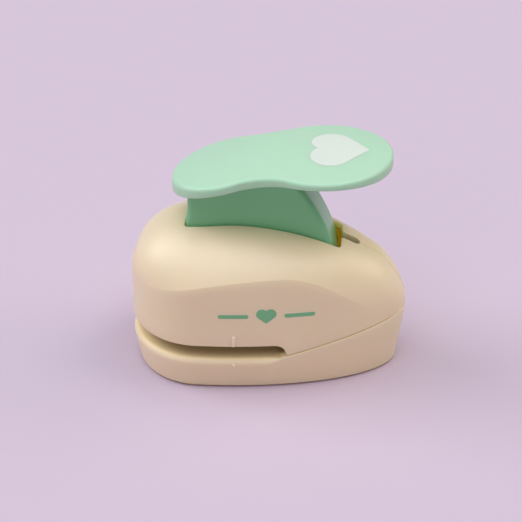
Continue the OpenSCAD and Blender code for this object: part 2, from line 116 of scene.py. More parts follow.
def along(x, knots):
    """Smooth height through (x, height, slope) knots."""
    k = np.array(knots, float)
    x = np.clip(x, k[0, 0], k[-1, 0])
    i = np.clip(np.searchsorted(k[:, 0], x) - 1, 0, len(k) - 2)
    h = k[i + 1, 0] - k[i, 0]
    t = (x - k[i, 0]) / h
    return (k[i, 1] * (2 * t**3 - 3 * t**2 + 1) + k[i, 2] * h * (t**3 - 2 * t**2 + t)
            + k[i + 1, 1] * (3 * t**2 - 2 * t**3) + k[i + 1, 2] * h * (t**3 - t**2))


def ease(x, a, b):
    """A smooth step from 0 to 1 between a and b."""
    t = np.clip((x - a) / (b - a), 0, 1)
    return t * t * (3 - 2 * t)


def quarter(u, p):
    """A quarter of a rounded curve: 1 at u = 0, and 0 at u = 1."""
    return np.maximum(0, 1 - np.clip(u, 0, 1) ** p) ** (1 / p)


def half_width(x, d=0.0):
    """Half width of the body outline at x, pulled in by d."""
    a = np.where(x < MID_X, NOSE_LEN, TAIL_LEN) - d
    return (HALF_W - d) * quarter(np.abs(x - MID_X) / a, 2)


def rim_point(a, d=0.0):
    """Point of the body outline at angle a, pulled in by d."""
    run = np.where(np.cos(a) < 0, NOSE_LEN, TAIL_LEN) - d
    return MID_X + run * np.cos(a), (HALF_W - d) * np.sin(a)


def crest(x, d=0.0):
    """Height of the ridge of the body, pulled in by d."""
    nose = NOSE_Z + (CREST_Z - d - NOSE_Z) * quarter((MID_X - x) / (NOSE_LEN - d), NOSE_POWER)
    ridge = along(x, CREST) - d
    tail = TAIL_Z + (ridge - TAIL_Z) * quarter((x - TAIL_X) / (HALF_LEN - TAIL_X - d), 2)
    return np.where(x < MID_X, nose, np.where(x > TAIL_X, tail, ridge))


def dome(x, y, d=0.0):
    """Height of the body's skin at (x, y), pulled in by d."""
    c = along(x, CREASE) - d / 2
    q = DOME_POWER + REAR_POWER * ease(x, -10, 20)
    k = 1 - SHOULDER * ease(x, -36, -20) * (1 - ease(x, 14, 32))
    s = np.minimum(1, np.abs(y) / np.maximum(0.01, half_width(x, d)))
    rise = (quarter(s * k, q) - quarter(k, q)) / (1 - quarter(k, q))
    return c + np.maximum(0.1, crest(x, d) - c) * rise


def joint_z(x):
    """Height of the joint line behind the paper gap."""
    u = x - CORNER[0]
    return CORNER[1] + JOINT_SLOPE * u - JOINT_BEND * u * u


def cover_bottom(x):
    """Height of the cover's lower edge: level, then a quarter round, then the joint line."""
    u = np.clip((x - (CORNER[0] - GAP_ROUND)) / GAP_ROUND, 0, 1)
    low = CORNER[1] + JOINT_GAP
    bend = low + (COVER_EDGE_Z - low) * np.sqrt(1 - u * u)
    return np.where(x < CORNER[0], bend, joint_z(x) + JOINT_GAP)


def base_edge(x):
    """Height where the base's wall turns into its lip."""
    gap = LIP_Z + (CORNER[1] - JOINT_GAP - LIP_Z) * ease(x, LIP_END, CORNER[0])
    return np.where(x < CORNER[0], gap, joint_z(x) - JOINT_GAP)


def base_top(x):
    """Height of the base's upper edge: the table, then the joint line."""
    gap = TABLE_Z + (CORNER[1] - TABLE_Z) * ease(x, TABLE_END, CORNER[0])
    return np.where(x < CORNER[0], gap, joint_z(x))


def base_lip(x):
    """Width of the base's rounded lip."""
    return LIP_IN - (LIP_IN - REAR_LIP) * ease(x, LIP_END, CORNER[0])


# ---------- mesh helpers ----------

def spaced(marks, counts):
    """Values from one mark to the next with the given number of steps each."""
    parts = [np.linspace(a, b, n, endpoint=False) for a, b, n in zip(marks, marks[1:], counts)]
    return np.concatenate(parts + [[marks[-1]]])


def torus_faces(rows, cols, wrap_rows=True, offset=0):
    """Quads of a grid that closes on itself along its columns, and along its rows too if asked."""
    faces = []
    for r in range(rows if wrap_rows else rows - 1):
        a, b = offset + r * cols, offset + (r + 1) % rows * cols
        for c in range(cols):
            n = (c + 1) % cols
            faces.append((a + c, a + n, b + n, b + c))
    return faces


class Mesh:
    """Collects vertices in millimetres and faces, then makes one object."""

    def __init__(self):
        self.verts, self.faces, self.painted_bounce_span = [], [], []

    def grid(self, rows, wrap_rows=True, caps=False, painted_bounce_span=None):
        """rows: array (K, N, 3). caps closes the first and the last row with a fan.

        painted_bounce_span: first and last of the rows between which the faces get the piece's second
        material, a painted warm bounce light.
        """
        k, n, _ = rows.shape
        base = len(self.verts)
        if painted_bounce_span:
            first = len(self.faces)
            self.painted_bounce_span.append((first + painted_bounce_span[0] * n, first + painted_bounce_span[1] * n))
        self.verts.extend(rows.reshape(-1, 3).tolist())
        self.faces.extend(torus_faces(k, n, wrap_rows, base))
        if caps:
            for row, flip in ((0, True), (k - 1, False)):
                start = base + row * n
                mid = len(self.verts)
                self.verts.append(rows[row].mean(axis=0).tolist())
                for c in range(n):
                    a, b = start + c, start + (c + 1) % n
                    self.faces.append((mid, b, a) if flip else (mid, a, b))

    def lathe(self, profile, place, segments=64, axis="z"):
        """Closed ring from a closed profile of (radius, height) turned about an axis through place."""
        t = np.linspace(0, 2 * math.pi, segments, endpoint=False)
        rows = []
        for r, h in profile:
            ring = np.stack([r * np.cos(t), r * np.sin(t), np.full(segments, float(h))], axis=-1)
            rows.append(ring)
        rows = np.array(rows)
        if axis == "y":
            rows = rows[..., [0, 2, 1]]
        self.grid(rows + np.array(place, float))

    def prism(self, outline, y0, y1, bevel=0.3):
        """Side-view outline of (x, z) points made thick along Y, with small bevels."""
        pts = np.array(outline, float)
        pts = pts if shoelace(pts) > 0 else pts[::-1]
        inner = inset(pts, bevel)
        rows = []
        for shape, y in ((inner, y0), (pts, y0 + bevel), (pts, y1 - bevel), (inner, y1)):
            rows.append(np.stack([shape[:, 0], np.full(len(pts), y), shape[:, 1]], axis=-1))
        self.grid(np.array(rows), wrap_rows=False, caps=True)

    def build(self, name, body, material, replaces=(), sharp=40.0, inner=None):
        """Makes the object, and gives it its body and the CAD nodes it replaces."""
        mesh = bpy.data.meshes.new(name)
        mesh.from_pydata((np.array(self.verts) * MM).tolist(), [], self.faces)
        for first, last in self.painted_bounce_span:
            for face in mesh.polygons[first:last]:
                face.material_index = 1
        mesh.validate()
        tidy = bmesh.new()
        tidy.from_mesh(mesh)
        bmesh.ops.remove_doubles(tidy, verts=tidy.verts, dist=1e-7)
        bmesh.ops.dissolve_degenerate(tidy, edges=tidy.edges, dist=1e-8)
        bmesh.ops.recalc_face_normals(tidy, faces=tidy.faces)
        tidy.to_mesh(mesh)
        tidy.free()
        mesh.polygons.foreach_set("use_smooth", [True] * len(mesh.polygons))
        mesh.set_sharp_from_angle(angle=math.radians(sharp))
        obj = bpy.data.objects.new(name, mesh)
        bpy.context.scene.collection.objects.link(obj)
        mesh.materials.append(material)
        if inner:
            mesh.materials.append(inner)
        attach(obj, body)
        if replaces:
            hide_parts(*replaces)
        return obj


def shoelace(p):
    """Signed area of a closed outline."""
    return 0.5 * float(np.sum(p[:, 0] * np.roll(p[:, 1], -1) - np.roll(p[:, 0], -1) * p[:, 1]))


def normals_2d(p):
    """Outward unit normals of a counter-clockwise closed outline."""
    t = np.roll(p, -1, axis=0) - np.roll(p, 1, axis=0)
    n = np.stack([t[:, 1], -t[:, 0]], axis=-1)
    return n / np.maximum(1e-9, np.linalg.norm(n, axis=1, keepdims=True))


def inset(p, d):
    """The outline moved inward by d."""
    return p - normals_2d(p) * d


# ---------- finishes ----------

def finish_nodes(name, color, rough, metallic=0.0, grain=900.0, bump=0.05, mottle=0.03,
                 coat=0.0, coat_rough=0.3, specular=0.5,
                 subsurface=0.0, depth=0.003, tint_radius=(1.0, 0.6, 0.4)):
    """A procedural finish: fine grain in the surface, and small changes of colour and roughness."""
    mat = bpy.data.materials.new(name)
    mat.use_nodes = True
    tree = mat.node_tree
    shader = tree.nodes["Principled BSDF"]
    shader.inputs["Metallic"].default_value = metallic
    shader.inputs["Coat Weight"].default_value = coat
    shader.inputs["Coat Roughness"].default_value = coat_rough
    shader.inputs["IOR"].default_value = 1.49
    shader.inputs["Specular IOR Level"].default_value = specular
    if subsurface:
        shader.inputs["Subsurface Weight"].default_value = subsurface
        shader.inputs["Subsurface Radius"].default_value = tint_radius
        shader.inputs["Subsurface Scale"].default_value = depth
    place = tree.nodes.new("ShaderNodeTexCoord")

    def noise(scale, detail):
        node = tree.nodes.new("ShaderNodeTexNoise")
        node.inputs["Scale"].default_value = scale
        node.inputs["Detail"].default_value = detail
        tree.links.new(place.outputs["Object"], node.inputs["Vector"])
        return node

    fine, broad = noise(grain, 3.0), noise(60.0, 2.0)
    ramp = tree.nodes.new("ShaderNodeMapRange")
    ramp.inputs["To Min"].default_value = rough - 0.05
    ramp.inputs["To Max"].default_value = rough + 0.05
    tree.links.new(broad.outputs["Fac"], ramp.inputs["Value"])
    tree.links.new(ramp.outputs["Result"], shader.inputs["Roughness"])
    mix = tree.nodes.new("ShaderNodeMix")
    mix.data_type = "RGBA"
    mix.inputs["A"].default_value = (*[c * (1 - mottle) for c in color], 1)
    mix.inputs["B"].default_value = (*[min(1, c * (1 + mottle)) for c in color], 1)
    tree.links.new(broad.outputs["Fac"], mix.inputs["Factor"])
    tree.links.new(mix.outputs["Result"], shader.inputs["Base Color"])
    dents = tree.nodes.new("ShaderNodeBump")
    dents.inputs["Strength"].default_value = bump
    dents.inputs["Distance"].default_value = 0.0001
    tree.links.new(fine.outputs["Fac"], dents.inputs["Height"])
    tree.links.new(dents.outputs["Normal"], shader.inputs["Normal"])
    return mat


CREAM = (0.89, 0.70, 0.46)
MINT = (0.450, 0.663, 0.475)
# Painted shade: the web gets a darker mint than the plate, standing in for the shade it lies in under the
# handle plate.
WEB_MINT_SHADE = (0.18, 0.51, 0.24)
cream = finish_nodes("cream_plastic", CREAM, 0.42, grain=1400, bump=0.10, coat=0.55, coat_rough=0.42,
                     subsurface=0.45)
# Painted highlight: the ticks get a lighter cream than the wall, standing in for the light their raised bars
# catch.
cream_tick_highlight = finish_nodes("cream_raised_painted_highlight", (0.93, 0.77, 0.56), 0.4, grain=1400, bump=0.1)
# Painted warm bounce light: a brighter, oranger cream on the cover's inner faces stands in for light bounced
# and passed through the plastic in the shaded hollows.
cream_inner_painted_bounce = finish_nodes("cream_inner_painted_bounce", (0.97, 0.78, 0.42), 0.5, grain=1400, bump=0.1,
                            subsurface=1.0, depth=0.006, tint_radius=(1.0, 0.7, 0.3))
# Painted warm bounce light on the base: the inner half of the lip, the table and the deck get an oranger
# cream for the light bounced into the shade under the cover.
cream_table_painted_bounce = finish_nodes("cream_table_painted_bounce", (1.0, 0.76, 0.42), 0.5, grain=1400, bump=0.1)
mint = finish_nodes("mint_plastic", MINT, 0.36, grain=900, bump=0.05, coat=0.1, coat_rough=0.14,
                    specular=0.35, subsurface=0.5, tint_radius=(0.4, 1.0, 0.7))
mint_painted_shade = finish_nodes("web_plastic", WEB_MINT_SHADE, 0.4, grain=1200, bump=0.06, coat=0.6, coat_rough=0.2)
print_white = finish_nodes("print_white", (0.66, 0.70, 0.61), 0.5, grain=2500, bump=0.08)
print_mint = finish_nodes("print_mint", (0.185, 0.475, 0.235), 0.5, grain=2500, bump=0.08)
zinc = finish_nodes("zinc_casting", (0.55, 0.56, 0.58), 0.5, metallic=1.0, grain=1800, bump=0.25)
tool_steel = finish_nodes("tool_steel", (0.62, 0.62, 0.63), 0.28, metallic=1.0, grain=3000, bump=0.08)
spring_steel = finish_nodes("spring_steel", (0.66, 0.67, 0.69), 0.2, metallic=1.0, grain=3000, bump=0.04)
black_oxide = finish_nodes("black_oxide", (0.045, 0.045, 0.05), 0.42, metallic=0.9, grain=2500, bump=0.1)


# ---------- cover ----------

# Corner radii of the slot, of its mouth into the slit, and of the rim's edge
SLOT_ROUND, THROAT_ROUND, RIM_ROUND = 1.2, 0.8, 0.35
COVER_EDGE_ROUND = 0.5
SEAM_DEPTH, SEAM_HALF = 0.75, 0.5


def slot_half_path():
    """Rim points, normals into the material and outline angles of the half with y >= 0, front to rear.

    Each rim point is joined to the outline's point at its angle, which makes one column of the cover.
    """
    rim, normal, angle = [], [], []

    def line(p, q, n, out, count):
        for t in np.linspace(0, 1, count, endpoint=False):
            rim.append((p[0] + (q[0] - p[0]) * t, p[1] + (q[1] - p[1]) * t))
            normal.append(n)
            angle.append(out[0] + (out[1] - out[0]) * t)

    def arc(center, r, a0, a1, out, count, inward=False):
        for t in np.linspace(0, 1, count, endpoint=False):
            a = math.radians(a0 + (a1 - a0) * t)
            rim.append((center[0] + r * math.cos(a), center[1] + r * math.sin(a)))
            sign = -1 if inward else 1
            normal.append((sign * math.cos(a), sign * math.sin(a)))
            angle.append(out[0] + (out[1] - out[0]) * t)

    line((SLOT_FRONT, 0), (SLOT_FRONT, SLOT_HALF - SLOT_ROUND), (-1, 0), (180, 146), 22)
    arc((SLOT_FRONT + SLOT_ROUND, SLOT_HALF - SLOT_ROUND), SLOT_ROUND, 180, 90, (146, 128), 12)
    # the long side, with close columns where the gap's round end and pointed corner are
    corner_a = math.degrees(math.acos((CORNER[0] - MID_X) / TAIL_LEN))
    bend_a = math.degrees(math.acos((CORNER[0] - GAP_ROUND - MID_X) / TAIL_LEN))
    marks = [128, 90, bend_a + 1, bend_a, corner_a, corner_a - 1.2, 42]
    counts = [34, 20, 4, 26, 8, 22]
    x0, x1 = SLOT_FRONT + SLOT_ROUND, SLOT_REAR - SLOT_ROUND
    xs = [x0 + (x1 - x0) * (marks[0] - m) / (marks[0] - marks[-1]) for m in marks]
    for i, count in enumerate(counts):
        line((xs[i], SLOT_HALF), (xs[i + 1], SLOT_HALF), (0, 1), (marks[i], marks[i + 1]), count)
    arc((SLOT_REAR - SLOT_ROUND, SLOT_HALF - SLOT_ROUND), SLOT_ROUND, 90, 0, (42, 36), 10)
    line((SLOT_REAR, SLOT_HALF - SLOT_ROUND), (SLOT_REAR, SLIT_HALF + THROAT_ROUND), (1, 0), (36, 15), 18)
    throat = (SLOT_REAR + THROAT_ROUND, SLIT_HALF + THROAT_ROUND)
    arc(throat, THROAT_ROUND, 180, 270, (15, 12.5), 8, inward=True)
    end_x = SLIT_REAR - SLIT_HALF
    side_a = math.degrees(math.asin(SLIT_HALF / HALF_W))
    line((SLOT_REAR + THROAT_ROUND, SLIT_HALF), (end_x, SLIT_HALF), (0, 1), (12.5, side_a), 14)
    for t in np.concatenate([np.linspace(90, 30, 9, endpoint=False), np.linspace(30, 0, 14)]):
        a = math.radians(t)
        rim.append((end_x + SLIT_HALF * math.cos(a), SLIT_HALF * math.sin(a)))
        normal.append((math.cos(a), math.sin(a)))
        angle.append(math.degrees(math.asin(SLIT_HALF * math.sin(a) / HALF_W)))
    return np.array(rim), np.array(normal), np.radians(np.array(angle))


def mirrored(half, odd=()):
    """A closed loop from a half loop whose first and last entries lie on the middle plane."""
    back = half[-2:0:-1].copy()
    for i in odd:
        back[..., i] *= -1
    return np.concatenate([half, back])


def add_groove(rows, depth, width, start_x):
    """Sinks a seam into the grid of points where |y| is small, behind start_x."""
    along_rows = np.gradient(rows, axis=0)
    along_cols = np.roll(rows, -1, axis=1) - np.roll(rows, 1, axis=1)
    n = np.cross(along_rows, along_cols)
    n /= np.maximum(1e-9, np.linalg.norm(n, axis=-1, keepdims=True))
    n *= np.sign(np.sum(n * (rows - np.array([0, 0, 15.0])), axis=-1, keepdims=True))
    fade = np.clip(1 - np.abs(rows[..., 1]) / width, 0, 1) * ease(rows[..., 0], start_x, start_x + 0.6)
    return rows - n * (depth * fade)[..., None]


def cover_piece():
    """The cover: outer skin from its lower edge to the slot's rim, inner skin, seam and screw bosses."""
    rim, normal, angle = slot_half_path()
    rim, normal = mirrored(rim, (1,)), mirrored(normal, (1,))
    angle = np.concatenate([angle, -angle[-2:0:-1]])
    out_x, out_y = rim_point(angle)
    bottom = cover_bottom(out_x)
    top = along(out_x, CREASE)
    outer = []
    for a in np.radians([-90, -60, -30, 0]):
        x, y = rim_point(angle, COVER_EDGE_ROUND * (1 - math.cos(a)))
        outer.append(np.stack([x, y, bottom + COVER_EDGE_ROUND * (1 + math.sin(a))], axis=-1))
    wall_low = bottom + COVER_EDGE_ROUND
    for t in np.linspace(0, 1, 8)[1:]:
        outer.append(np.stack([out_x, out_y, wall_low + (top - wall_low) * t], axis=-1))
    start = rim + normal * RIM_ROUND
    # t runs from the outline (1) to the rim (0)
    for t in np.cos(np.linspace(0, math.pi / 2, 64))[1:]:
        x, y = start[:, 0] + (out_x - start[:, 0]) * t, start[:, 1] + (out_y - start[:, 1]) * t
        outer.append(np.stack([x, y, dome(x, y)], axis=-1))
    for d in RIM_ROUND * (1 - np.sin(np.radians([15, 30, 45, 60, 75, 90]))):
        x, y = rim[:, 0] + normal[:, 0] * d, rim[:, 1] + normal[:, 1] * d
        drop = RIM_ROUND - np.sqrt(max(0.0, RIM_ROUND**2 - (RIM_ROUND - d) ** 2))
        outer.append(np.stack([x, y, dome(x, y) - drop], axis=-1))
    outer = add_groove(np.array(outer), SEAM_DEPTH, SEAM_HALF, SLIT_REAR + 0.1)
    inner = []
    in_x, in_y = rim_point(angle, COVER_WALL)
    for t in np.sin(np.linspace(0, math.pi / 2, 20)):
        x, y = rim[:, 0] + (in_x - rim[:, 0]) * t, rim[:, 1] + (in_y - rim[:, 1]) * t
        inner.append(np.stack([x, y, dome(x, y, COVER_WALL)], axis=-1))
    in_top = along(in_x, CREASE) - COVER_WALL / 2
    for t in (0.35, 0.7, 1.0):
        inner.append(np.stack([in_x, in_y, in_top + (bottom - in_top) * t], axis=-1))
    cover = Mesh()
    total = len(outer) + len(inner)
    # the inner skin's faces get the second material, a painted warm bounce light
    cover.grid(np.concatenate([outer, np.array(inner)]), painted_bounce_span=(len(outer) - 1, total - 1))
    for (x, y), r, hole, low in ((FRONT_BOSS, 2.6, 1.1, SEAT_Z), (REAR_BOSS, 2.8, 1.3, TABLE_Z)):
        for side in (-1, 1):
            t = np.linspace(0, 2 * math.pi, 16)
            high = float(dome(x + r * np.cos(t), y + r * np.sin(t), COVER_WALL / 2).min())
            cover.lathe([(r, low), (r, high), (hole, high), (hole, low)], (x, side * y, 0), 32)
    skin = cover.build("cover_skin", "housing", cream, ("top_cover",), inner=cream_inner_painted_bounce)
    # the walls of the slit catch the light, so they keep the outer finish and not the painted warm bounce
    # light
    for face in skin.data.polygons:
        if face.center.x > (SLOT_REAR + 0.3) * MM and abs(face.center.y) < 1.2 * SLIT_HALF * MM:
            face.material_index = 0
    return skin


def add_tick(mesh, side, heights, lean_at):
    """A small raised bar with soft edges on the side wall.

    lean_at gives how far the wall leans in at a height.
    """
    half, corner_r = 0.42, 0.14
    z0, z1 = heights
    t = np.linspace(0, 2 * math.pi, 24, endpoint=False)
    corner = np.sign(np.cos(t)), np.sign(np.sin(t))
    rows = []
    for shrink, out in ((0.0, -0.25), (0.0, 0.2), (0.05, 0.34), (0.14, 0.4)):
        px = DIE_X + corner[0] * (half - corner_r) + np.cos(t) * (corner_r - shrink)
        pz = (z0 + z1) / 2 + corner[1] * ((z1 - z0) / 2 - corner_r) + np.sin(t) * (corner_r - shrink)
        py = side * (half_width(px, lean_at(pz)) + out)
        rows.append(np.stack([px, py, pz], axis=-1))
    mesh.grid(np.array(rows), wrap_rows=False, caps=True)


def tick_piece():
    """The ticks that mark the die's centre, on the cover and on the base, in a lighter cream that paints
    their highlight.
    """
    ticks = Mesh()
    for side in (-1, 1):
        add_tick(ticks, side, (COVER_EDGE_Z + 0.25, COVER_EDGE_Z + 3.6), lambda z: 0.0 * z)
        add_tick(ticks, side, (6.6, 8.8), lambda z: DRAFT_IN * np.clip(1 - z / LIP_Z, 0, 1))
    return ticks.build("centre_ticks", "housing", cream_tick_highlight)


# ---------- base ----------

FOOT_IN, FOOT_Z = 1.1, 0.66
WALL_IN = 3.4
DECK_THICK, DECK_OPENING_IN, DIE_CLEAR = 2.0, 8.0, 0.2


def base_piece():
    """The base: foot, leaning wall, lip, table with the die's opening, and screw bosses."""
    corner_a = math.degrees(math.acos((CORNER[0] - MID_X) / TAIL_LEN))
    half = np.radians(spaced([180, 90, 72, corner_a, corner_a - 4, 0], [90, 16, 26, 10, 70]))
    angle = np.concatenate([half, -half[-2:0:-1]])
    x_out, _ = rim_point(angle)
    edge, top, lip = base_edge(x_out), base_top(x_out), base_lip(x_out)

    def ring(d, z):
        x, y = rim_point(angle, d)
        return np.stack([x, y, np.broadcast_to(z, x.shape)], axis=-1)

    # foot and wall
    draft = DRAFT_IN + REAR_DRAFT * np.maximum(0, np.cos(angle)) ** 2
    rows = [ring(WALL_IN, 0.0), ring(draft + FOOT_IN, 0.0), ring(draft + FOOT_IN, FOOT_Z),
            ring(draft + 0.12, FOOT_Z), ring(draft + 0.03, FOOT_Z + 0.05)]
    wall_z = FOOT_Z + 0.15
    for t in np.linspace(0, 1, 9):
        rows.append(ring(draft * (1 - t) ** 1.15, wall_z + (edge - wall_z) * t))
    # rounded lip; its inner half, with the table and the deck, has the painted warm bounce light
    for a in np.radians(np.linspace(0, 90, 10)[1:]):
        rows.append(ring(lip * (1 - math.cos(a)), edge + (top - edge) * math.sin(a)))
    table_row = len(rows) - 5
    # down to the table, behind the joint line only
    rear = ease(x_out, CORNER[0] + 1.0, CORNER[0] + 2.4)
    behind = rear > 0
    wall_top = np.where(behind, top, TABLE_Z + (top - TABLE_Z) * ease(x_out, TABLE_END, CORNER[0]))
    rows.append(ring(np.maximum(lip, 2.2), wall_top))
    rows.append(ring(np.maximum(lip, 2.4), wall_top + (TABLE_Z - wall_top) * np.where(behind, 0.05, 0.0)))
    rows.append(ring(np.maximum(lip + 0.4, 2.4),
                     np.where(behind, TABLE_Z + (wall_top - TABLE_Z) * (1 - rear), wall_top)))
    rows.append(ring(WALL_IN, np.full_like(x_out, TABLE_Z)))
    die_lo, die_hi = box_mm("die_block")
    front_x, rear_x = die_lo[0] + 1.4 - DIE_CLEAR, die_hi[0] + DIE_CLEAR

    def opening(z):
        """The outline pulled in and cut straight across in front of and behind the die."""
        x, y = rim_point(angle, DECK_OPENING_IN)
        for limit, side in ((front_x, -1), (rear_x, 1)):
            past = x * side > limit * side
            reach = half_width(np.array(limit), DECK_OPENING_IN)
            y = np.where(past, np.sign(y) * np.minimum(np.abs(y), reach), y)
            x = np.where(past, limit, x)
        return np.stack([x, y, np.full_like(x, z)], axis=-1)

    deck_low = TABLE_Z - DECK_THICK
    rows += [opening(TABLE_Z), opening(deck_low), ring(WALL_IN, deck_low)]
    base = Mesh()
    base.grid(np.array(rows), painted_bounce_span=(table_row, len(rows) - 1))
    boss_top = deck_low + 0.5
    for (x, y), r, bore in ((BASE_BOSS, 2.4, 1.1), (REAR_BOSS, 2.8, 1.4)):
        profile = [(r, PLATE_TOP), (r, boss_top), (bore, boss_top), (bore, PLATE_TOP)]
        for side in (-1, 1):
            base.lathe(profile, (x, side * y, 0), 32)
    return base.build("base_skin", "housing", cream, ("base_shell",), inner=cream_table_painted_bounce)


# ---------- lever ----------

# The plate is crowned lengthwise about APEX_X and a little across; its underside is flat across
HANDLE_R, CROWN_R, HANDLE_T, APEX_X = 120.0, 94.0, 4.0, 19.3
PLATE_ROUND_TOP, PLATE_ROUND_LOW = 0.9, 0.95
HEART_X, HEART_LEN = 19.3, 16.0


def handle_skin(x, y, depth=0.0):
    """Height of the handle plate's top, or of a skin that lies depth under it."""
    r = HANDLE_R - depth - CROWN_R + np.sqrt(CROWN_R**2 - y**2)
    return HANDLE_Z - HANDLE_R + np.sqrt(r**2 - (x - APEX_X) ** 2)


def under_skin(x, rise=0.0):
    """Height of the handle plate's underside, which is flat across, or of a skin that lies rise above it."""
    return HANDLE_Z - HANDLE_R + np.sqrt((HANDLE_R - HANDLE_T + rise) ** 2 - (x - APEX_X) ** 2)


def handle_outline():
    """Closed plan of the plate, counter-clockwise: front lobe, hollow waist, rear lobe.

    A lobe is (centre x, radius); the waist is an arc about a centre beside the plate.
    """
    front, rear, waist, waist_r = (-11.8, 15.15), (15.2, 18.6), (-3.5, 37.5), 23.3
    fa = math.atan2(waist[1], waist[0] - front[0])
    ra = math.atan2(waist[1], waist[0] - rear[0])
    pts = []
    arcs = (((front[0], 0), front[1], math.pi, fa, 70),
            (waist, waist_r, fa + math.pi, ra + math.pi, 40),
            ((rear[0], 0), rear[1], ra, 0.0, 90))
    for c, r, a0, a1, n in arcs:
        for t in np.linspace(0, 1, n, endpoint=False):
            a = a0 + (a1 - a0) * t
            pts.append((c[0] + r * math.cos(a), c[1] + r * math.sin(a)))
    pts.append((rear[0] + rear[1], 0.0))
    return mirrored(np.array(pts), (1,))[::-1]


def plate_piece():
    """The handle plate with rounded edges; its top lies a little under the printed heart."""
    plan = handle_outline()
    n = normals_2d(plan)
    center = np.array([3.0, 0.0])
    sink, round_top, round_low = 0.06, PLATE_ROUND_TOP, PLATE_ROUND_LOW
    rows = []

    def add(p, depth):
        rows.append(np.stack([p[:, 0], p[:, 1], handle_skin(p[:, 0], p[:, 1], depth)], axis=-1))

    core = plan - n * round_top
    for s in np.linspace(0.02, 1, 26)[:-1]:
        add(center + (core - center) * s, sink)
    for a in np.radians(np.linspace(0, 90, 10)):
        add(plan - n * round_top * (1 - math.sin(a)), sink + (round_top - sink) * (1 - math.cos(a)))
    for a in np.radians(np.linspace(0, 90, 8)):
        p = plan - n * round_low * (1 - math.cos(a))
        rows.append(np.stack([p[:, 0], p[:, 1], under_skin(p[:, 0], round_low * (1 - math.sin(a)))], axis=-1))
    core = plan - n * round_low
    for s in np.linspace(1, 0.02, 12)[1:]:
        p = center + (core - center) * s
        rows.append(np.stack([p[:, 0], p[:, 1], under_skin(p[:, 0])], axis=-1))
    plate = Mesh()
    plate.grid(np.array(rows), wrap_rows=False, caps=True)
    return plate.build("handle_skin", "lever", mint, ("handle_plate",), sharp=60)


def heart_outline(length, steps=60):
    """Heart with its notch to the front (-x) and its tip to the rear; both lobes are arcs."""
    k = length / 16
    r, cx, cy, tip = 5.5 * k, -2.5 * k, 4.15 * k, 8.0 * k
    reach = tip - cx
    lean = math.asin(r / math.hypot(reach, cy)) + math.atan2(cy, reach)
    notch = math.pi + math.asin(cy / r)
    pts = [(tip, 0.0)]
    start = math.pi / 2 - lean
    for t in np.linspace(0, 0.94, 14)[1:]:
        pts.append((tip + (cx + r * math.cos(start) - tip) * t, (cy + r * math.sin(start)) * t))
    for a in np.linspace(start, notch, steps):
        pts.append((cx + r * math.cos(a), cy + r * math.sin(a)))
    half = np.array(pts)
    half[-1, 1] = 0.0
    return mirrored(half, (1,))


def heart_piece():
    """The printed heart, a thin film that follows the plate's crown."""
    plan = heart_outline(HEART_LEN)
    plan[:, 0] += HEART_X
    mid = np.array([18.0, 0.0])
    film = [(t, 0.01) for t in np.linspace(0.03, 0.99, 16)]
    film += [(1.0, 0.04), (1.0, 0.2), (0.5, 0.2), (0.03, 0.2)]
    rows = []
    for t, depth in film:
        p = mid + (plan - mid) * t
        rows.append(np.stack([p[:, 0], p[:, 1], handle_skin(p[:, 0], p[:, 1], depth)], axis=-1))
    heart = Mesh()
    heart.grid(np.array(rows), wrap_rows=False, caps=True)
    return heart.build("heart_film", "lever", print_white, ("heart_print",), sharp=50)


# The web's rear face turns about the lever's axle at WEB_R
WEB_HALF, WEB_WALL, WEB_R, SEAT_GAP = 6.5, 2.2, 48.3, 0.25
AXLE_EYE_R, AXLE_BORE_R = 4.3, 2.05
PIN_EYE_R, PIN_BORE_R = 2.8, 1.51
RIB_HALF = 0.9


def web_roof(x, d=0.0):
    """Height of the web's top, just under the plate."""
    return HANDLE_Z - HANDLE_R + np.sqrt((HANDLE_R - HANDLE_T - SEAT_GAP - d) ** 2 - (x - APEX_X) ** 2)


def web_rear(z, d=0.0):
    """Where the rear face is at a height, pulled in by d."""
    return PIVOT[0] + np.sqrt(np.maximum(1, (WEB_R - d) ** 2 - (z - PIVOT[1]) ** 2))


def web_front(z):
    """Where the front face is at a height; it flares forward over the cover."""
    flare = -22.25 - 0.8 * np.exp(-np.maximum(0, z - 44.3) / 2.2)
    return np.where(z < 44.2, np.maximum(flare, -22.8), flare)


def web_low(x):
    """Height of the web's lower edge."""
    return np.interp(x, [-30, -9, 4.5, 24], [31.4, 31.4, 36.4, 34.4])


def web_rows(d, corner, fractions):
    """Rows of the web's box, pulled in by d, from its lower edge (0) to its top (1)."""
    quarter_turn = np.linspace(0, math.pi / 2, 9)
    # each column: where it lies between the corners, and its unit offset there
    sides = [(1, 1, 0.0), (-1, 1, math.pi / 2), (-1, -1, math.pi), (1, -1, 1.5 * math.pi)]
    cols = []
    for i, (sx, sy, a0) in enumerate(sides):
        for a in quarter_turn + a0:
            cols.append((sx, sy, math.cos(a), math.sin(a)))
        nx, ny, _ = sides[(i + 1) % 4]
        count = 30 if nx != sx else 8
        a1 = a0 + math.pi / 2
        for t in np.linspace(0, 1, count + 1, endpoint=False)[1:]:
            cols.append((sx + (nx - sx) * t, sy + (ny - sy) * t, math.cos(a1), math.sin(a1)))
    cols = np.array(cols)
    rows = []
    for f in fractions:
        z = np.full(len(cols), 45.0)
        # the faces depend on the height, and the height on the faces, so a few rounds settle both
        for _ in range(6):
            x0, x1 = web_front(z) + d, web_rear(z, d)
            mid, reach = (x0 + x1) / 2, (x1 - x0) / 2
            x = mid + cols[:, 0] * (reach - corner) + cols[:, 2] * corner
            z = web_low(x) + (web_roof(x, d) - web_low(x)) * f
        y = cols[:, 1] * (WEB_HALF - d - corner) + cols[:, 3] * corner
        rows.append(np.stack([x, y, z], axis=-1))
    return rows


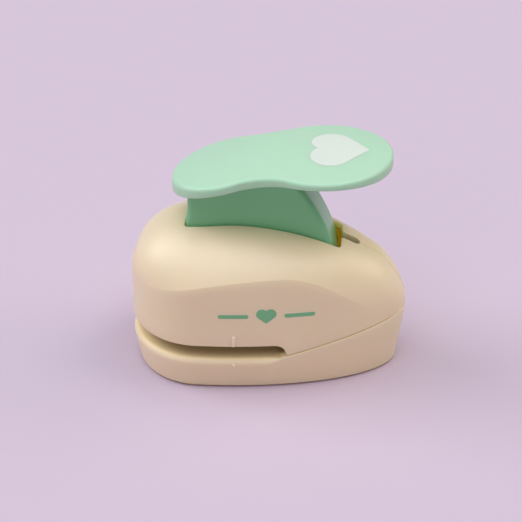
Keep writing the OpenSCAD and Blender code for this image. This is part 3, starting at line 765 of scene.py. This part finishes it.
def web_piece():
    """The web: hollow box open at the bottom, arms to the axle, eyes for the press pin, and the rear rib."""
    steps = np.sort(np.concatenate([np.linspace(0, 1, 26), np.linspace(0.4, 0.56, 18)]))
    shell = np.array(web_rows(0.0, 1.7, steps))
    hollow = np.array(web_rows(WEB_WALL, 0.4, steps[::-1]))
    web = Mesh()
    k, n, _ = shell.shape
    web.verts = shell.reshape(-1, 3).tolist() + hollow.reshape(-1, 3).tolist()
    web.faces = torus_faces(k, n, False, 0) + torus_faces(k, n, False, k * n)
    last = (2 * k - 1) * n
    for c in range(n):
        nx = (c + 1) % n
        web.faces.append((last + c, last + nx, nx, c))
    for row, flip in (((k - 1) * n, False), (k * n, True)):
        mid = len(web.verts)
        center = np.array(web.verts[row:row + n]).mean(axis=0)
        center[2] = web_roof(center[0], WEB_WALL if flip else 0.0)
        web.verts.append(center.tolist())
        for c in range(n):
            a, b = row + c, row + (c + 1) % n
            web.faces.append((mid, b, a) if flip else (mid, a, b))
    inner_y, outer_y = WEB_HALF - WEB_WALL + 0.04, WEB_HALF - 0.04
    px, pz = PIVOT
    arm = [(px - 3.9, pz + 2.3), (px - 1.6, pz + 9.5), (-22.6, 41.5), (-20.6, 41.5), (-20.6, 31.6),
           (-22.4, 31.4), (px + 3.8, pz + 2.3)]
    for side in (-1, 1):
        y0, y1 = sorted((side * inner_y, side * outer_y))
        web.prism(dense(arm), y0 + 0.02, y1 - 0.02, 0.15)
        for eye, bore, place, segments in ((AXLE_EYE_R, AXLE_BORE_R, (px, 0, pz), 48),
                                           (PIN_EYE_R, PIN_BORE_R, (DIE_X, 0, PIN_Z), 40)):
            web.lathe([(eye, y0), (eye, y1), (bore, y1), (bore, y0)], place, segments, axis="y")
    rib = [(5, 60.4), (8, 55), (16, 54), (20.3, 58.8), (20.3, 61.7), (13, 61.5)]
    web.prism(dense(rib), -RIB_HALF, RIB_HALF, 0.2)
    return web.build("lever_skin", "lever", mint_painted_shade, ("lever_arm",), sharp=35)


def dense(outline, step=1.5):
    """The outline with points added along its sides, so that its caps stay even."""
    pts = []
    for p, q in zip(outline, outline[1:] + outline[:1]):
        count = max(1, int(math.dist(p, q) / step))
        for t in range(count):
            pts.append((p[0] + (q[0] - p[0]) * t / count, p[1] + (q[1] - p[1]) * t / count))
    return pts


# ---------- spring ----------

SPRING_TURNS, WIRE_R = 3.0, 0.5


def spring_piece():
    """The return spring under the punch head, made at the length of its CAD node."""
    coil_r = (spring_hi[1] - spring_lo[1]) / 2 - WIRE_R
    z0, z1 = spring_lo[2] + WIRE_R, spring_hi[2] - WIRE_R
    count, around = 288, 16
    s = np.linspace(0, 1, count)
    a = 2 * math.pi * SPRING_TURNS * s
    path = np.stack([DIE_X + coil_r * np.cos(a), coil_r * np.sin(a), z0 + (z1 - z0) * s], axis=-1)
    out = np.stack([np.cos(a), np.sin(a), np.zeros(count)], axis=-1)
    up = np.array([0, 0, 1.0])
    b = np.linspace(0, 2 * math.pi, around, endpoint=False)
    # the wire's two ends are rounded off
    shrink = np.minimum(1, np.sqrt(np.clip(np.minimum(s, 1 - s) * 400, 0.02, 1)))
    section = np.cos(b)[None, :, None] * out[:, None] + np.sin(b)[None, :, None] * up
    rows = path[:, None] + WIRE_R * shrink[:, None, None] * section
    spring = Mesh()
    spring.grid(rows, wrap_rows=False, caps=True)
    piece = spring.build("spring_wire", "housing", spring_steel, ("return_spring",), sharp=60)
    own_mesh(piece)
    return piece


# ---------- printed mark ----------

MARK_Z, MARK_HEART, MARK_HEART_X = 24.4, 4.6, 0.8
BAR_HALF, BAR_R = 3.6, 0.6


def mark_piece():
    """A plain printed mark on the near wall: a short bar, a small heart and a short bar."""
    mark = Mesh()
    heart = heart_outline(MARK_HEART, 24)
    shapes = [(np.stack([-heart[:, 1], -heart[:, 0]], axis=-1), MARK_HEART_X)]
    t = np.linspace(-math.pi / 2, math.pi / 2, 13)
    side = np.linspace(BAR_HALF, -BAR_HALF, 12, endpoint=False)
    half = np.concatenate([np.stack([BAR_HALF + BAR_R * np.cos(t), BAR_R * np.sin(t)], axis=-1)[:-1],
                           np.stack([side, np.full(12, BAR_R)], axis=-1)])
    for bar_x in (-8.3, 9.9):
        shapes.append((np.concatenate([half, -half]), bar_x))
    for shape, u in shapes:
        rows = []
        for s, out in ((0.02, 0.03), (0.5, 0.03), (0.97, 0.03), (1.0, 0.015), (1.0, -0.3), (0.02, -0.3)):
            x = u + shape[:, 0] * s
            z = MARK_Z + shape[:, 1] * s
            y = -(half_width(x) + out)
            rows.append(np.stack([x, y, z], axis=-1))
        mark.grid(np.array(rows), wrap_rows=False, caps=True)
    return mark.build("side_mark", "housing", print_mint, (), sharp=50)


cover_piece()
base_piece()
tick_piece()
plate_piece()
heart_piece()
web_piece()
spring_piece()
mark_piece()

# Finish of each CAD node, for those that are shown and those that a skin replaces
FINISH_BY_NODE = {
    "bottom_plate": cream, "die_block": zinc, "gap_spacer": tool_steel, "guide_block": zinc,
    "dowel_pins": tool_steel, "frame_screws": black_oxide, "cover_screws": black_oxide,
    "base_screws": black_oxide, "housing_screws": black_oxide, "lever_axle": tool_steel,
    "axle_clips": black_oxide, "handle_screws": black_oxide, "press_pin": tool_steel,
    "press_roller": tool_steel, "punch_head": zinc, "heart_punch": tool_steel, "punch_screws": black_oxide,
    "top_cover": cream, "base_shell": cream, "lever_arm": mint_painted_shade, "handle_plate": mint,
    "heart_print": print_white, "return_spring": spring_steel,
}
for node_name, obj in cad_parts.items():
    obj.data.materials.clear()
    obj.data.materials.append(FINISH_BY_NODE[node_name])

# ---------- floor, light and camera ----------

FLOOR_HALF = 3.0
FLOOR_COLOR = (0.569, 0.455, 0.537)


def floor_piece():
    """A plain square floor at the height of the foot."""
    mesh = bpy.data.meshes.new("floor")
    s = FLOOR_HALF
    mesh.from_pydata([(-s, -s, 0), (s, -s, 0), (s, s, 0), (-s, s, 0)], [], [(0, 1, 2, 3)])
    mesh.materials.append(finish_nodes("floor_paper", FLOOR_COLOR, 0.95, grain=500, bump=0.02, mottle=0.005))
    obj = bpy.data.objects.new("floor", mesh)
    bpy.context.scene.collection.objects.link(obj)


def sun_light(name, toward, strength, angle, color):
    """A wide, far light; toward is the direction from the object to the light."""
    data = bpy.data.lights.new(name, "SUN")
    data.energy = strength
    data.angle = math.radians(angle)
    data.color = color
    obj = bpy.data.objects.new(name, data)
    obj.rotation_euler = Vector(toward).to_track_quat("Z", "Y").to_euler()
    bpy.context.scene.collection.objects.link(obj)


floor_piece()
sun_light("key_light", (-0.95, 0.15, 0.8), 1.15, 40, (0.97, 1.0, 1.06))
sun_light("top_light", (-0.03, -0.15, 1.0), 1.75, 70, (0.90, 0.99, 1.15))
sun_light("front_light", (-0.35, -0.9, 0.45), 0.25, 40, (1.05, 1.0, 0.93))
sun_light("right_light", (0.9, 0.2, 0.9), 1.0, 50, (1.05, 0.985, 0.83))

world = bpy.data.worlds.new("studio")
world.use_nodes = True
world.node_tree.nodes["Background"].inputs["Color"].default_value = (1.0, 1.0, 1.0, 1)
world.node_tree.nodes["Background"].inputs["Strength"].default_value = 0.2
bpy.context.scene.world = world
bpy.context.scene.view_settings.view_transform = "Standard"

AZIMUTH, ELEVATION = math.radians(4.5), math.radians(30.5)
TARGET = Vector((-2.32, 0.0, 29.48)) * MM
CAMERA_AWAY = 454.18 * MM
SENSOR_WIDTH, FOCAL_LENGTH = 36.0, 110.344828
BACK = Vector((math.sin(AZIMUTH) * math.cos(ELEVATION), -math.cos(AZIMUTH) * math.cos(ELEVATION),
               math.sin(ELEVATION)))
camera_data = bpy.data.cameras.new("camera")
camera_data.sensor_width = SENSOR_WIDTH
camera_data.lens = FOCAL_LENGTH
camera = bpy.data.objects.new("camera", camera_data)
camera.location = TARGET + BACK * CAMERA_AWAY
camera.rotation_euler = BACK.to_track_quat("Z", "Y").to_euler()
bpy.context.scene.collection.objects.link(camera)
bpy.context.scene.camera = camera
